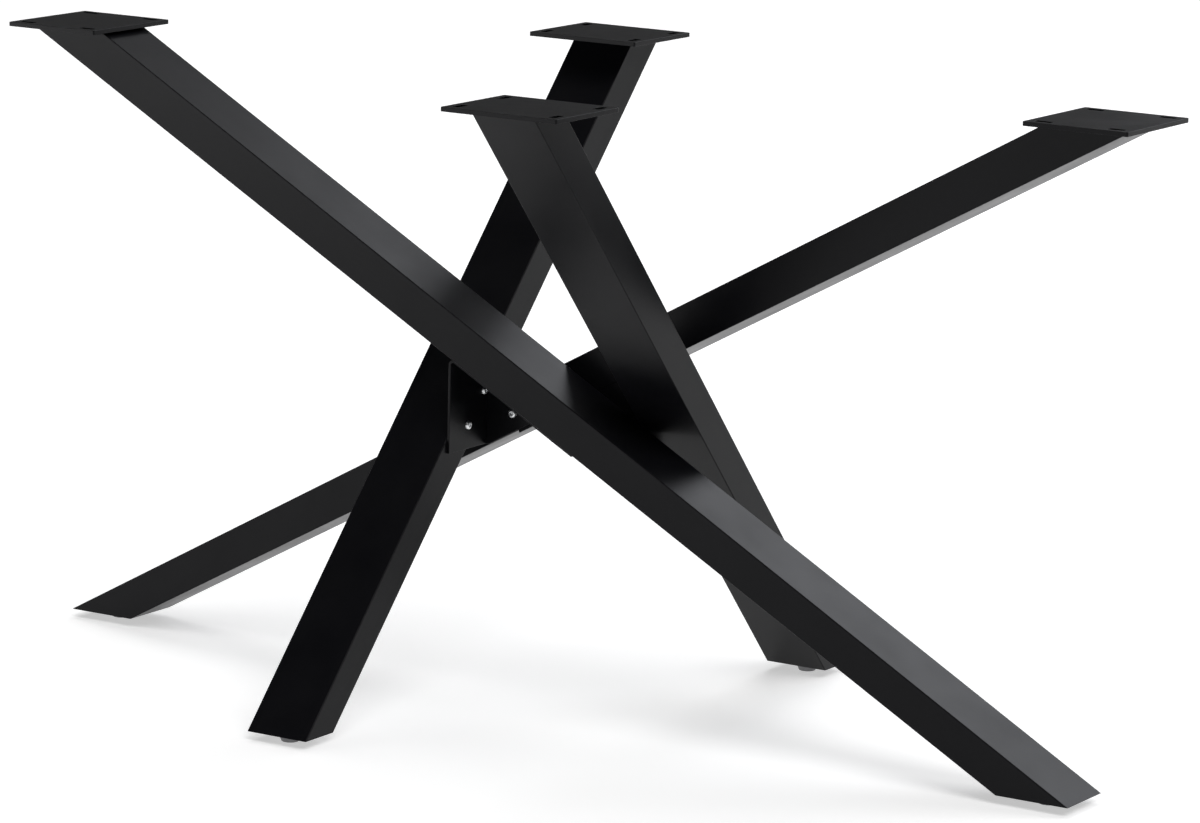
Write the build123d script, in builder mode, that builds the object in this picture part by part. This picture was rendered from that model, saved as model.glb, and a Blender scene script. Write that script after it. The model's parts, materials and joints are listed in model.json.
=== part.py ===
from build123d import *
from dataclasses import dataclass, field
import math
import os

# Crossed-leg table frame in steel, four slanted tubes tied together at the middle by two brackets.
# Origin: on the floor, under the point where the tubes cross. X runs along the table, Z is up.
# The frame looks the same after half a turn about Z, so each piece is drawn once and turned.
# All sizes are in millimetres.

# Heights
frame_height = 730.0
plate_thickness = 5.0
glide_height = 10.0

# Tube section: the width is constant, the depth tapers from the top cut to the foot cut
tube_width = 79.0
tube_wall = 2.0
tube_corner_radius = 1.2

# Long legs: reach of both tips from the middle of the frame, and length of the level cut at each end
long_tip_reach = 694.0
long_top_cut = 100.5
long_foot_cut = 87.5

# Cross legs: reach of the centre line at each end, and length of the level cut there
cross_top_reach = 331.3
cross_foot_reach = 319.7
cross_top_cut = 60.4
cross_foot_cut = 53.4

# Gap left round a long leg where a cross leg is notched to pass over it
leg_clearance = 0.5

# Top plates, with a slot near each corner that runs along the short side
plate_long_side = 145.0
plate_short_side = 124.0
plate_corner_radius = 4.0
slot_length = 17.0
slot_width = 6.5
slot_spacing_long = 120.0
slot_spacing_short = 86.0
long_plate_outward_shift = 1.9
long_plate_inward_shift = 4.5
cross_plate_inward_shift = 7.3
cross_plate_overhang = 0.5

# Corner brackets, each a bent strip of sheet steel with a gusset welded along its back edge
bracket_sheet = 3.0
gusset_sheet = 3.0
gusset_tip_gap = 2.0
gusset_edge_inset = 1.0
bracket_reach = 105.5
bracket_bend_radius = 2.5
bracket_edge_inset = 3.0
bracket_bottom_rise = 4.5
shelf_overrun = 61.0
hole_gap = 0.3

# Button head screws that hold the legs on the brackets
screw_diameter = 6.0
screw_length = 16.0
screw_head_diameter = 10.5
screw_head_height = 3.3
screw_socket_size = 4.0
screw_socket_depth = 2.2
flange_screw_rise = 45.2
flange_screw_pitch = 48.0
gusset_screw_reach = 67.5
gusset_screw_drop = 2.7
shelf_screw_reach = 22.0
shelf_screw_pitch = 104.0

# Blind rivet nuts in the tube walls
thread_gap = 0.1
insert_diameter = 9.0
insert_length = 14.0
insert_mouth_diameter = 10.4
insert_bulge_diameter = 12.0
insert_bulge_length = 3.0
insert_gap = 0.1

# Feet: a plate that closes the tube, a weld nut on it and a screwed-in glide
foot_plate_thickness = 4.0
stud_diameter = 8.0
stud_length = 14.0
stud_end_chamfer = 1.0
nut_across_flats = 13.0
nut_height = 6.5
glide_top_diameter = 22.0
glide_base_diameter = 17.6
glide_taper_height = 5.5
glide_rim_chamfer = 0.8

# Worked out from the sizes above
leg_top = frame_height - plate_thickness
leg_foot = glide_height
leg_rise = leg_top - leg_foot
long_leg_offset = (tube_width + gusset_sheet) / 2
cross_leg_offset = bracket_reach + tube_width / 2
half_turn = Location((0, 0, 0), (0, 0, 180))


@dataclass
class Leg:
    """One slanted tube. Its plane stands upright through its centre line, with x towards the foot."""

    name: str
    plane: Plane
    top_reach: float
    foot_reach: float
    top_cut: float
    foot_cut: float
    crossed: "Leg" = None
    screw_planes: list = field(default_factory=list)

    def edge(self, side, height):
        """Place along the leg's plane of its lower (-1), centre (0) or upper (1) edge at a height."""
        foot = self.foot_reach + side * self.foot_cut / 2
        top = -self.top_reach + side * self.top_cut / 2
        return foot + (top - foot) * (height - leg_foot) / leg_rise

    def edge_height(self, side, place):
        """Height of that edge at a place along the leg's plane."""
        foot = self.edge(side, leg_foot)
        top = self.edge(side, leg_top)
        return leg_foot + leg_rise * (place - foot) / (top - foot)

    def slope(self, side):
        """Angle of that edge above the floor, in radians."""
        return math.atan2(leg_rise, self.edge(side, leg_foot) - self.edge(side, leg_top))

    def outline(self, low, high, inset):
        """Side view of the leg between two heights, moved in by a wall square to its edges."""
        points = []
        for side, height in ((-1, low), (1, low), (1, high), (-1, high)):
            points.append((self.edge(side, height) - side * inset / math.sin(self.slope(side)), height))
        return points


def upright_plane(offset, x_dir, normal):
    """Upright plane at a distance from the middle, along its normal."""
    return Plane(origin=tuple(offset * n for n in normal), x_dir=x_dir, z_dir=normal)


def turned(plane):
    """The same plane after half a turn about Z."""
    return Plane(half_turn * plane.location)


middle_plane = upright_plane(0, (1, 0, 0), (0, -1, 0))
front_plane = upright_plane(long_leg_offset, (1, 0, 0), (0, -1, 0))
right_plane = upright_plane(cross_leg_offset, (0, 1, 0), (1, 0, 0))
long_top_reach = long_tip_reach - long_top_cut / 2
long_foot_reach = long_tip_reach - long_foot_cut / 2
long_sizes = (long_top_reach, long_foot_reach, long_top_cut, long_foot_cut)
cross_sizes = (cross_top_reach, cross_foot_reach, cross_top_cut, cross_foot_cut)
long_front = Leg("long_leg_front", front_plane, *long_sizes)
long_back = Leg("long_leg_back", turned(front_plane), *long_sizes)
cross_right = Leg("cross_leg_right", right_plane, *cross_sizes, crossed=long_front)
cross_left = Leg("cross_leg_left", turned(right_plane), *cross_sizes, crossed=long_back)
legs = (long_front, long_back, cross_right, cross_left)
bracket_bottom = long_back.edge_height(-1, bracket_reach) + bracket_bottom_rise


def shelf_screw_planes():
    """Planes on the underside of the front long leg, facing into it."""
    slope = long_front.slope(-1)
    into_leg = (math.sin(slope), 0, math.cos(slope))
    planes = []
    for step in (-0.5, 0.5):
        x = -shelf_screw_reach + step * shelf_screw_pitch
        origin = (x, -long_leg_offset, long_front.edge_height(-1, x))
        planes.append(Plane(origin=origin, x_dir=(0, 1, 0), z_dir=into_leg))
    return planes


def gusset_screw_planes():
    """Plane on the inner side of the back long leg, a little below its centre line, facing into it."""
    height = long_back.edge_height(0, gusset_screw_reach) - gusset_screw_drop
    return [Plane(origin=(-gusset_screw_reach, gusset_sheet / 2, height), x_dir=(1, 0, 0), z_dir=(0, 1, 0))]


def flange_screw_planes():
    """Planes on the inner side of the left cross leg, along its centre line, facing into it."""
    rise = flange_screw_pitch * math.sin(cross_left.slope(0))
    planes = []
    for step in (-0.5, 0.5):
        height = bracket_bottom + flange_screw_rise + step * rise
        origin = (-bracket_reach, -cross_left.edge(0, height), height)
        planes.append(Plane(origin=origin, x_dir=(0, 1, 0), z_dir=(-1, 0, 0)))
    return planes


strip_screws = shelf_screw_planes() + flange_screw_planes()
left_bracket_screws = strip_screws + gusset_screw_planes()
right_bracket_screws = [turned(plane) for plane in left_bracket_screws]
all_screws = left_bracket_screws + right_bracket_screws
long_front.screw_planes = shelf_screw_planes() + [turned(plane) for plane in gusset_screw_planes()]
long_back.screw_planes = [turned(plane) for plane in long_front.screw_planes]
cross_left.screw_planes = flange_screw_planes()
cross_right.screw_planes = [turned(plane) for plane in cross_left.screw_planes]


def save(part, name):
    """Label a finished piece and write it."""
    part.label = name
    export_step(part, f"parts/{name}.step")


def make_tube(leg):
    """Tapered tube, cut level at both ends, with a notch over the leg that it crosses and rivet nut holes."""
    with BuildPart() as tube:
        with BuildSketch(leg.plane):
            with BuildLine():
                Polyline(*leg.outline(leg_foot, leg_top, 0), close=True)
            make_face()
        extrude(amount=tube_width / 2, both=True)
        long_edges = [edge for edge in tube.edges() if edge.length > leg_rise]
        fillet(long_edges, tube_corner_radius)
        with BuildSketch(leg.plane):
            with BuildLine():
                Polyline(*leg.outline(leg_foot, leg_top, tube_wall), close=True)
            make_face()
        extrude(amount=tube_width / 2 - tube_wall, both=True, mode=Mode.SUBTRACT)
        if leg.crossed:
            with BuildSketch(leg.crossed.plane):
                with BuildLine():
                    Polyline(*leg.crossed.outline(leg_foot, leg_top, -leg_clearance), close=True)
                make_face()
            extrude(amount=tube_width / 2 + leg_clearance, both=True, mode=Mode.SUBTRACT)
        for plane in leg.screw_planes:
            with Locations(plane):
                CounterSinkHole(
                    insert_diameter / 2 + insert_gap,
                    insert_mouth_diameter / 2 + insert_gap,
                    tube_wall * 2,
                    2 * math.degrees(math.atan((insert_mouth_diameter - insert_diameter) / 2 / tube_wall)),
                )
    save(tube.part, leg.name)


def plate_centre(leg):
    """Place of the top plate's centre on the leg's plane: along it, and square to it."""
    if leg in (long_front, long_back):
        return -leg.top_reach - long_plate_outward_shift, -long_plate_inward_shift
    outer_edge = leg.edge(-1, leg_top) - cross_plate_overhang
    return outer_edge + plate_short_side / 2, -cross_plate_inward_shift


def make_top_plate(leg):
    """Flat plate on top of a leg, its long side square to the leg's plane."""
    along, across = plate_centre(leg)
    centre = leg.plane.origin + leg.plane.x_dir * along + leg.plane.z_dir * across
    base = Plane(origin=(centre.X, centre.Y, leg_top), x_dir=leg.plane.z_dir, z_dir=(0, 0, 1))
    with BuildPart() as plate:
        with BuildSketch(base):
            RectangleRounded(plate_long_side, plate_short_side, plate_corner_radius)
            with GridLocations(slot_spacing_long, slot_spacing_short, 2, 2):
                SlotOverall(slot_length, slot_width, rotation=90, mode=Mode.SUBTRACT)
        extrude(amount=plate_thickness)
    save(plate.part, leg.name.replace("leg", "top_plate"))


def foot_plane(leg, height):
    """Level plane at a height, centred on the foot of a leg."""
    centre = leg.plane.origin + leg.plane.x_dir * leg.foot_reach
    return Plane(origin=(centre.X, centre.Y, height), x_dir=leg.plane.x_dir, z_dir=(0, 0, 1))


def make_foot_plate(leg):
    """Plate let into the foot of a tube, its edges cut to the slant of the walls."""
    with BuildPart() as plate:
        with BuildSketch(leg.plane):
            with BuildLine():
                Polyline(*leg.outline(leg_foot, leg_foot + foot_plate_thickness, tube_wall), close=True)
            make_face()
        extrude(amount=tube_width / 2 - tube_wall, both=True)
        with Locations(foot_plane(leg, leg_foot + foot_plate_thickness)):
            Hole(stud_diameter / 2 + thread_gap)
    save(plate.part, leg.name.replace("leg", "foot_plate"))


def make_glide(leg):
    """Turned glide: a base that tapers to the floor, and a stud screwed up through the foot plate."""
    base_radius = glide_base_diameter / 2
    top_radius = glide_top_diameter / 2
    stud_radius = stud_diameter / 2
    axis_plane = Plane(origin=foot_plane(leg, 0).origin, x_dir=leg.plane.x_dir, z_dir=leg.plane.z_dir)
    with BuildPart() as glide:
        with BuildSketch(axis_plane) as profile:
            with BuildLine():
                Polyline(
                    (0, 0),
                    (base_radius, 0),
                    (top_radius, glide_taper_height),
                    (top_radius, glide_height),
                    (stud_radius, glide_height),
                    (stud_radius, glide_height + stud_length - stud_end_chamfer),
                    (stud_radius - stud_end_chamfer, glide_height + stud_length),
                    (0, glide_height + stud_length),
                    close=True,
                )
            make_face()
            rim = [(base_radius, 0), (top_radius, glide_height)]
            corners = [profile.vertices().sort_by_distance((*point, 0))[0] for point in rim]
            chamfer(corners, glide_rim_chamfer)
        revolve(axis=Axis(axis_plane.origin, (0, 0, 1)))
    save(glide.part, leg.name.replace("leg", "glide"))


def make_weld_nuts():
    """One hexagon nut on each foot plate, inside the tube."""
    with BuildPart() as nuts:
        for leg in legs:
            with BuildSketch(foot_plane(leg, leg_foot + foot_plate_thickness)):
                RegularPolygon(nut_across_flats / 2, 6, major_radius=False)
                Circle(stud_diameter / 2 + thread_gap, mode=Mode.SUBTRACT)
            extrude(amount=nut_height)
    save(nuts.part, "weld_nuts")


def underside(x):
    """Height of the front long leg's underside at a place along X."""
    return long_front.edge_height(-1, x)


def strip_outline():
    """Side view of the bent strip: the shelf under the front long leg and the flange down from it."""
    slope = long_front.slope(-1)
    shelf_end = (
        shelf_overrun - bracket_sheet * math.sin(slope),
        underside(shelf_overrun) - bracket_sheet * math.cos(slope),
    )
    inner_x = -bracket_reach + bracket_sheet
    inner_corner = (inner_x, underside(inner_x) - bracket_sheet / math.cos(slope))
    return [
        (-bracket_reach, underside(-bracket_reach)),
        (shelf_overrun, underside(shelf_overrun)),
        shelf_end,
        inner_corner,
        (inner_x, bracket_bottom),
        (-bracket_reach, bracket_bottom),
    ]


def gusset_outline():
    """Side view of the gusset: it closes the pocket between the flange and the undersides of both long legs."""
    return [
        (-bracket_reach, underside(-bracket_reach)),
        (-gusset_tip_gap, underside(-gusset_tip_gap)),
        (-gusset_tip_gap, underside(gusset_tip_gap) + gusset_edge_inset),
        (-long_back.edge(-1, bracket_bottom - gusset_edge_inset), bracket_bottom),
        (-bracket_reach, bracket_bottom),
    ]


def make_bracket(name, middle, screws):
    """Bracket of three walls: the long legs lie on its shelf and gusset, a cross leg on its flange."""
    strip_corners = strip_outline()
    outer_radius = bracket_bend_radius + bracket_sheet
    with BuildPart() as bracket:
        with BuildSketch(middle.offset(gusset_sheet / 2)) as strip:
            with BuildLine():
                Polyline(*strip_corners, close=True)
            make_face()
            fillet(strip.vertices().sort_by_distance(strip_corners[0])[0], outer_radius)
            fillet(strip.vertices().sort_by_distance(strip_corners[3])[0], bracket_bend_radius)
        extrude(amount=tube_width - bracket_edge_inset)
        with BuildSketch(middle) as gusset:
            with BuildLine():
                Polyline(*gusset_outline(), close=True)
            make_face()
            fillet(gusset.vertices().sort_by_distance(strip_corners[0])[0], outer_radius)
        extrude(amount=gusset_sheet / 2, both=True)
        for plane in screws:
            with Locations(plane):
                Cylinder(screw_diameter / 2 + hole_gap, gusset_sheet * 2, mode=Mode.SUBTRACT)
    save(bracket.part, name)


def make_screws():
    """Button head screws with a hexagon socket, through the brackets into the rivet nuts."""
    head_radius = screw_head_diameter / 2
    shank_radius = screw_diameter / 2
    socket_reach = screw_socket_size / math.sqrt(3)
    with BuildPart() as screw:
        with BuildSketch(Plane.XZ):
            with BuildLine():
                Polyline(
                    (socket_reach, -screw_head_height),
                    (0, -screw_head_height),
                    (0, screw_length),
                    (shank_radius, screw_length),
                    (shank_radius, 0),
                    (head_radius, 0),
                )
                RadiusArc((head_radius, 0), (socket_reach, -screw_head_height), head_radius)
            make_face()
        revolve(axis=Axis.Z)
        with BuildSketch(Plane.XY.offset(-screw_head_height)):
            RegularPolygon(screw_socket_size / 2, 6, major_radius=False)
        extrude(amount=screw_socket_depth, mode=Mode.SUBTRACT)
    seats = [plane.offset(-bracket_sheet) for plane in strip_screws]
    seats += [plane.offset(-gusset_sheet) for plane in gusset_screw_planes()]
    with BuildPart() as screws:
        for seat in seats + [turned(seat) for seat in seats]:
            with Locations(seat):
                add(screw.part)
    save(screws.part, "button_head_screws")


def make_rivet_nuts():
    """Flush blind rivet nuts: a mouth that widens through the wall, and the bulge that grips behind it."""
    mouth_radius = insert_mouth_diameter / 2
    barrel_radius = insert_diameter / 2
    bulge_radius = insert_bulge_diameter / 2
    bulge_end = tube_wall + insert_bulge_length
    with BuildPart() as nut:
        with BuildSketch(Plane.XZ):
            with BuildLine():
                Polyline(
                    (screw_diameter / 2 + thread_gap, 0),
                    (mouth_radius, 0),
                    (barrel_radius, tube_wall),
                    (bulge_radius, tube_wall),
                    (barrel_radius, bulge_end),
                    (barrel_radius, insert_length),
                    (screw_diameter / 2 + thread_gap, insert_length),
                    close=True,
                )
            make_face()
        revolve(axis=Axis.Z)
    with BuildPart() as nuts:
        for plane in all_screws:
            with Locations(plane):
                add(nut.part)
    save(nuts.part, "rivet_nuts")


os.makedirs("parts", exist_ok=True)
for leg in legs:
    make_tube(leg)
    make_top_plate(leg)
    make_foot_plate(leg)
    make_glide(leg)
make_weld_nuts()
make_bracket("corner_bracket_left", middle_plane, left_bracket_screws)
make_bracket("corner_bracket_right", turned(middle_plane), right_bracket_screws)
make_screws()
make_rivet_nuts()
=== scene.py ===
"""Crossed table frame: four tapered box legs in black powder coat, lit and seen as in its photograph.

All sizes are in metres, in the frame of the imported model: X along the table, Z up, the origin on the floor
under the crossing. The frame looks the same after half a turn about Z.
"""

import json
import logging
import math
from dataclasses import dataclass, field
from enum import Enum

import bmesh
import bpy
from mathutils import Matrix, Vector

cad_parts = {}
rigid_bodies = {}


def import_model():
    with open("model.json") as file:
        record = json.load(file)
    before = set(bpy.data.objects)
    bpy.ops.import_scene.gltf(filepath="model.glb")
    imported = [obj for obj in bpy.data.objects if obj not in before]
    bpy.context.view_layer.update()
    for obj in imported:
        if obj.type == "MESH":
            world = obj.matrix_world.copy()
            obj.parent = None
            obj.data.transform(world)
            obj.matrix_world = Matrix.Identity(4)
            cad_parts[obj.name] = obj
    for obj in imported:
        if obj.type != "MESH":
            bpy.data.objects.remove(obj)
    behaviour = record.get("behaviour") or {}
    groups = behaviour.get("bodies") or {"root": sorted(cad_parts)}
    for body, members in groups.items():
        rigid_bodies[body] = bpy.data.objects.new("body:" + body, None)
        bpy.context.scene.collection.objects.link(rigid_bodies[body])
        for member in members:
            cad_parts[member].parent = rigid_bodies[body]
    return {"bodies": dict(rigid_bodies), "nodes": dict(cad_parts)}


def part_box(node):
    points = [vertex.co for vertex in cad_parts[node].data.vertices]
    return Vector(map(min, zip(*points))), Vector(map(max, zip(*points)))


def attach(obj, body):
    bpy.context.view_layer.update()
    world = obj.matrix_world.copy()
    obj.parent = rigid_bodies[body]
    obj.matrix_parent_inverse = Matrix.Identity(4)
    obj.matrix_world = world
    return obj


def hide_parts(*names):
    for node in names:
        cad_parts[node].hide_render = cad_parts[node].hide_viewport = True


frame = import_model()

log = logging.getLogger("crossed_frame")

Colour = tuple[float, float, float, float]
Place = tuple[float, float, float]

BODY = "root"
MILLIMETRES = 1000

MERGE_DISTANCE = 0.000005
FLAT_ANGLE = math.radians(0.5)
STEEP_NORMAL = 0.5

TURNED_LENGTH = "turned_length"
FACING = "facing"

# Numbers of sockets that share their name with others on the same node
MIX_FIRST_COLOUR = 6
MIX_SECOND_COLOUR = 7
MIX_COLOUR = 2
RANDOM_FLOAT_MAX = 3
RANDOM_FLOAT = 1


class Slot(Enum):
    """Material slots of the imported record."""

    POWDER = "black_powder_coat"
    NICKEL = "nickel_plate"
    ZINC = "zinc_plate"


class Side(Enum):
    """Line along a leg in its side view: minus one is its lower edge, and zero its middle."""

    LOWER = -1
    CENTRE = 0


# Helpers for node trees and meshes


class Wiring:
    """Adds nodes to a tree and joins them."""

    def __init__(self, tree: bpy.types.NodeTree) -> None:
        """Work on one tree."""
        self.tree = tree

    def add(self, kind: str, inputs: dict[str | int, object] | None = None,
            **settings: object) -> bpy.types.Node:
        """Add a node.

        Args:
            kind: The node's type.
            inputs: Values or output sockets by the name or number of the input that takes them.
            settings: The node's own properties.

        Returns:
            The new node.
        """
        node = self.tree.nodes.new(kind)
        for name, value in settings.items():
            setattr(node, name, value)
        for name, value in (inputs or {}).items():
            if isinstance(value, bpy.types.NodeSocket):
                self.tree.links.new(value, node.inputs[name])
            else:
                node.inputs[name].default_value = value
        return node

    def math(self, operation: str, *values: bpy.types.NodeSocket | float) -> bpy.types.NodeSocket:
        """Output of a Math node that works on one, two or three values or sockets."""
        node = self.add("ShaderNodeMath", dict(enumerate(values)), operation=operation)
        return node.outputs[0]

    def blend(self, mask: bpy.types.NodeSocket, first: Colour, second: Colour) -> bpy.types.NodeSocket:
        """Mix two colours.

        Args:
            mask: Share of the second colour.
            first: The colour where the mask is zero.
            second: The colour where the mask is one.

        Returns:
            The mixed colour.
        """
        node = self.add("ShaderNodeMix", {"Factor": mask}, data_type="RGBA")
        node.inputs[MIX_FIRST_COLOUR].default_value = first
        node.inputs[MIX_SECOND_COLOUR].default_value = second
        return node.outputs[MIX_COLOUR]


def declare(tree: bpy.types.NodeTree, direction: str, sockets: dict[str, str]) -> None:
    """Give a tree its named inputs or outputs.

    Args:
        tree: The tree.
        direction: INPUT or OUTPUT.
        sockets: Socket types by name.
    """
    for name, kind in sockets.items():
        tree.interface.new_socket(name, in_out=direction, socket_type=kind)


def set_inputs(modifier: bpy.types.Modifier, values: dict[str, object]) -> None:
    """Set the named inputs of a Geometry Nodes modifier by their identifiers.

    Args:
        modifier: The modifier.
        values: Values by the input's name.
    """
    for item in modifier.node_group.interface.items_tree:
        if item.item_type == "SOCKET" and item.in_out == "INPUT" and item.name in values:
            modifier[item.identifier] = values[item.name]


def socket_name(size: str) -> str:
    """Name of the tree input that takes a size of a class."""
    return size.replace("_", " ").title()


def new_object(name: str, data: bpy.types.ID) -> bpy.types.Object:
    """Put a mesh, lamp or camera into the scene.

    Args:
        name: Name of the object.
        data: What it holds.

    Returns:
        The object.
    """
    thing = bpy.data.objects.new(name, data)
    bpy.context.scene.collection.objects.link(thing)
    return thing


def mesh_from(shell: bmesh.types.BMesh, name: str) -> bpy.types.Mesh:
    """Turn a bmesh into a plain mesh.

    Args:
        shell: The bmesh, which is freed.
        name: Name of the mesh.

    Returns:
        The mesh, without normals of its own.
    """
    mesh = bpy.data.meshes.new(name)
    shell.to_mesh(mesh)
    shell.free()
    if "custom_normal" in mesh.attributes:
        mesh.attributes.remove(mesh.attributes["custom_normal"])
    return mesh


def make_plain(thing: bpy.types.Object) -> None:
    """Turn an object with live modifiers into a plain mesh without them.

    Args:
        thing: The object, with its modifiers.
    """
    bpy.context.view_layer.update()
    graph = bpy.context.evaluated_depsgraph_get()
    finished = bpy.data.meshes.new_from_object(thing.evaluated_get(graph), depsgraph=graph)
    thing.modifiers.clear()
    thing.data = finished


def smooth_flats(thing: bpy.types.Object, angle: float) -> None:
    """Shade the rounds of a piece smoothly and leave its flats flat.

    Args:
        thing: The piece.
        angle: Edges sharper than this stay sharp, in radians.
    """
    thing.data.shade_smooth()
    thing.data.set_sharp_from_angle(angle=angle)
    even = thing.modifiers.new("even flats", "WEIGHTED_NORMAL")
    even.keep_sharp = True


def half_turned(place: Vector) -> Vector:
    """The same place on the twin piece, after half a turn about Z."""
    return Vector((-place.x, -place.y, place.z))


def rounded_rectangle(centre: Vector, spans: Vector, radius: float, steps: int) -> list[Vector]:
    """Closed outline of a rectangle with rounded corners.

    Args:
        centre: The middle of the rectangle.
        spans: Its length along X and along Y.
        radius: The radius of its corners.
        steps: Number of spans along each corner.

    Returns:
        The outline's points, in order.
    """
    points = []
    for quarter, (right, up) in enumerate(((1, 1), (-1, 1), (-1, -1), (1, -1))):
        middle = centre + Vector((right * (spans.x / 2 - radius), up * (spans.y / 2 - radius)))
        for step in range(steps + 1):
            turn = (quarter + step / steps) * math.pi / 2
            point = middle + radius * Vector((math.cos(turn), math.sin(turn)))
            if all((point - known).length > MERGE_DISTANCE for known in (points[:1] + points[-1:])):
                points.append(point)
    return points


def rounded_corner(before: tuple[float, float], corner: tuple[float, float], after: tuple[float, float],
                   radius: float, steps: int = 5) -> list[tuple[float, float]]:
    """Points of an arc that rounds one corner of an outline.

    Args:
        before: The point before the corner.
        corner: The corner.
        after: The point after the corner.
        radius: The arc's radius.
        steps: Number of spans along the arc.

    Returns:
        The arc's points, in order.
    """
    tip = Vector(corner)
    back, ahead = (Vector(before) - tip).normalized(), (Vector(after) - tip).normalized()
    half = back.angle(ahead) / 2
    centre = tip + (back + ahead).normalized() * radius / math.sin(half)
    start = tip + back * radius / math.tan(half) - centre
    end = tip + ahead * radius / math.tan(half) - centre
    turn = start.angle_signed(end)
    return [tuple(centre + Matrix.Rotation(-turn * step / steps, 2) @ start) for step in range(steps + 1)]


# Finishes


def clouds_group() -> bpy.types.NodeTree:
    """Slow, cloudy change over a surface, with a fine relief.

    Returns:
        Group that puts out a mask of broad clouds and the height of the relief.
    """
    tree = bpy.data.node_groups.new("clouds and relief", "ShaderNodeTree")
    declare(tree, "INPUT", {"Place": "NodeSocketVector", "Cloud Scale": "NodeSocketFloat",
                            "Relief Scale": "NodeSocketFloat", "Relief Detail": "NodeSocketFloat"})
    declare(tree, "OUTPUT", {"Cloud": "NodeSocketFloat", "Height": "NodeSocketFloat"})
    wiring = Wiring(tree)
    given = wiring.add("NodeGroupInput").outputs
    broad = wiring.add("ShaderNodeTexNoise", {
        "Vector": given["Place"], "Scale": given["Cloud Scale"], "Detail": 4.0, "Roughness": 0.55})
    spread = wiring.add("ShaderNodeMapRange", {
        "Value": broad.outputs["Fac"], "From Min": 0.3, "From Max": 0.7})
    fine = wiring.add("ShaderNodeTexNoise", {
        "Vector": given["Place"], "Scale": given["Relief Scale"], "Detail": given["Relief Detail"],
        "Roughness": 0.5})
    wiring.add("NodeGroupOutput", {"Cloud": spread.outputs["Result"], "Height": fine.outputs["Fac"]})
    return tree


def turning_group() -> bpy.types.NodeTree:
    """Fine rings that a lathe leaves, which follow the length along the turned profile.

    Returns:
        Group that puts out the height of the rings and a mask of how bright each ring is.
    """
    tree = bpy.data.node_groups.new("turning rings", "ShaderNodeTree")
    declare(tree, "INPUT", {"Along": "NodeSocketFloat", "Ring Scale": "NodeSocketFloat",
                            "Broad Share": "NodeSocketFloat"})
    declare(tree, "OUTPUT", {"Ring": "NodeSocketFloat", "Height": "NodeSocketFloat"})
    wiring = Wiring(tree)
    given = wiring.add("NodeGroupInput").outputs
    rings = wiring.add("ShaderNodeTexNoise", {
        "W": given["Along"], "Scale": given["Ring Scale"], "Detail": 3.0}, noise_dimensions="1D")
    broad_scale = wiring.math("MULTIPLY", given["Ring Scale"], given["Broad Share"])
    broad = wiring.add("ShaderNodeTexNoise", {
        "W": given["Along"], "Scale": broad_scale, "Detail": 1.0}, noise_dimensions="1D")
    wiring.add("NodeGroupOutput", {"Ring": broad.outputs["Fac"], "Height": rings.outputs["Fac"]})
    return tree


class SurfaceGroups:
    """The shader groups that the finishes share, each built once."""

    def __init__(self) -> None:
        """Build the groups."""
        self.clouds = clouds_group()
        self.turning = turning_group()


def start_material(name: str) -> tuple[bpy.types.Material, Wiring, bpy.types.Node]:
    """New material with an empty tree.

    Args:
        name: The material's name.

    Returns:
        The material, its wiring and its Principled shader, joined to the output.
    """
    material = bpy.data.materials.new(name)
    material.use_nodes = True
    material.node_tree.nodes.clear()
    wiring = Wiring(material.node_tree)
    shader = wiring.add("ShaderNodeBsdfPrincipled")
    wiring.add("ShaderNodeOutputMaterial", {"Surface": shader.outputs["BSDF"]})
    return material, wiring, shader


@dataclass(frozen=True)
class Finish:
    """Two colours and two levels of gloss, mixed by slow clouds, over a fine relief."""

    name: str
    colour: Colour
    cloud_colour: Colour
    roughness_low: float
    roughness_high: float
    cloud_scale: float
    relief_scale: float
    relief_detail: float
    relief_depth: float
    relief_strength: float

    def place_clouds(self, wiring: Wiring, groups: SurfaceGroups) -> bpy.types.NodeOutputs:
        """Set the shared clouds on the piece's own coordinates.

        Args:
            wiring: The material's wiring.
            groups: The shared shader groups.

        Returns:
            The outputs Cloud and Height.
        """
        place = wiring.add("ShaderNodeTexCoord").outputs["Object"]
        clouds = wiring.add("ShaderNodeGroup", node_tree=groups.clouds)
        wiring.tree.links.new(place, clouds.inputs["Place"])
        clouds.inputs["Cloud Scale"].default_value = self.cloud_scale
        clouds.inputs["Relief Scale"].default_value = self.relief_scale
        clouds.inputs["Relief Detail"].default_value = self.relief_detail
        return clouds.outputs

    def cover(self, wiring: Wiring, shader: bpy.types.Node, mask: bpy.types.NodeSocket,
              height: bpy.types.NodeSocket) -> None:
        """Join colour, gloss and relief to the shader.

        Args:
            wiring: The material's wiring.
            shader: The material's Principled shader.
            mask: Share of the second colour and of the higher roughness.
            height: Height of the relief.
        """
        gloss = wiring.add("ShaderNodeMapRange", {
            "Value": mask, "To Min": self.roughness_low, "To Max": self.roughness_high})
        relief = wiring.add("ShaderNodeBump", {
            "Height": height, "Strength": self.relief_strength, "Distance": self.relief_depth})
        colour = wiring.blend(mask, self.colour, self.cloud_colour)
        wiring.tree.links.new(colour, shader.inputs["Base Color"])
        wiring.tree.links.new(gloss.outputs["Result"], shader.inputs["Roughness"])
        wiring.tree.links.new(relief.outputs["Normal"], shader.inputs["Normal"])


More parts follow.
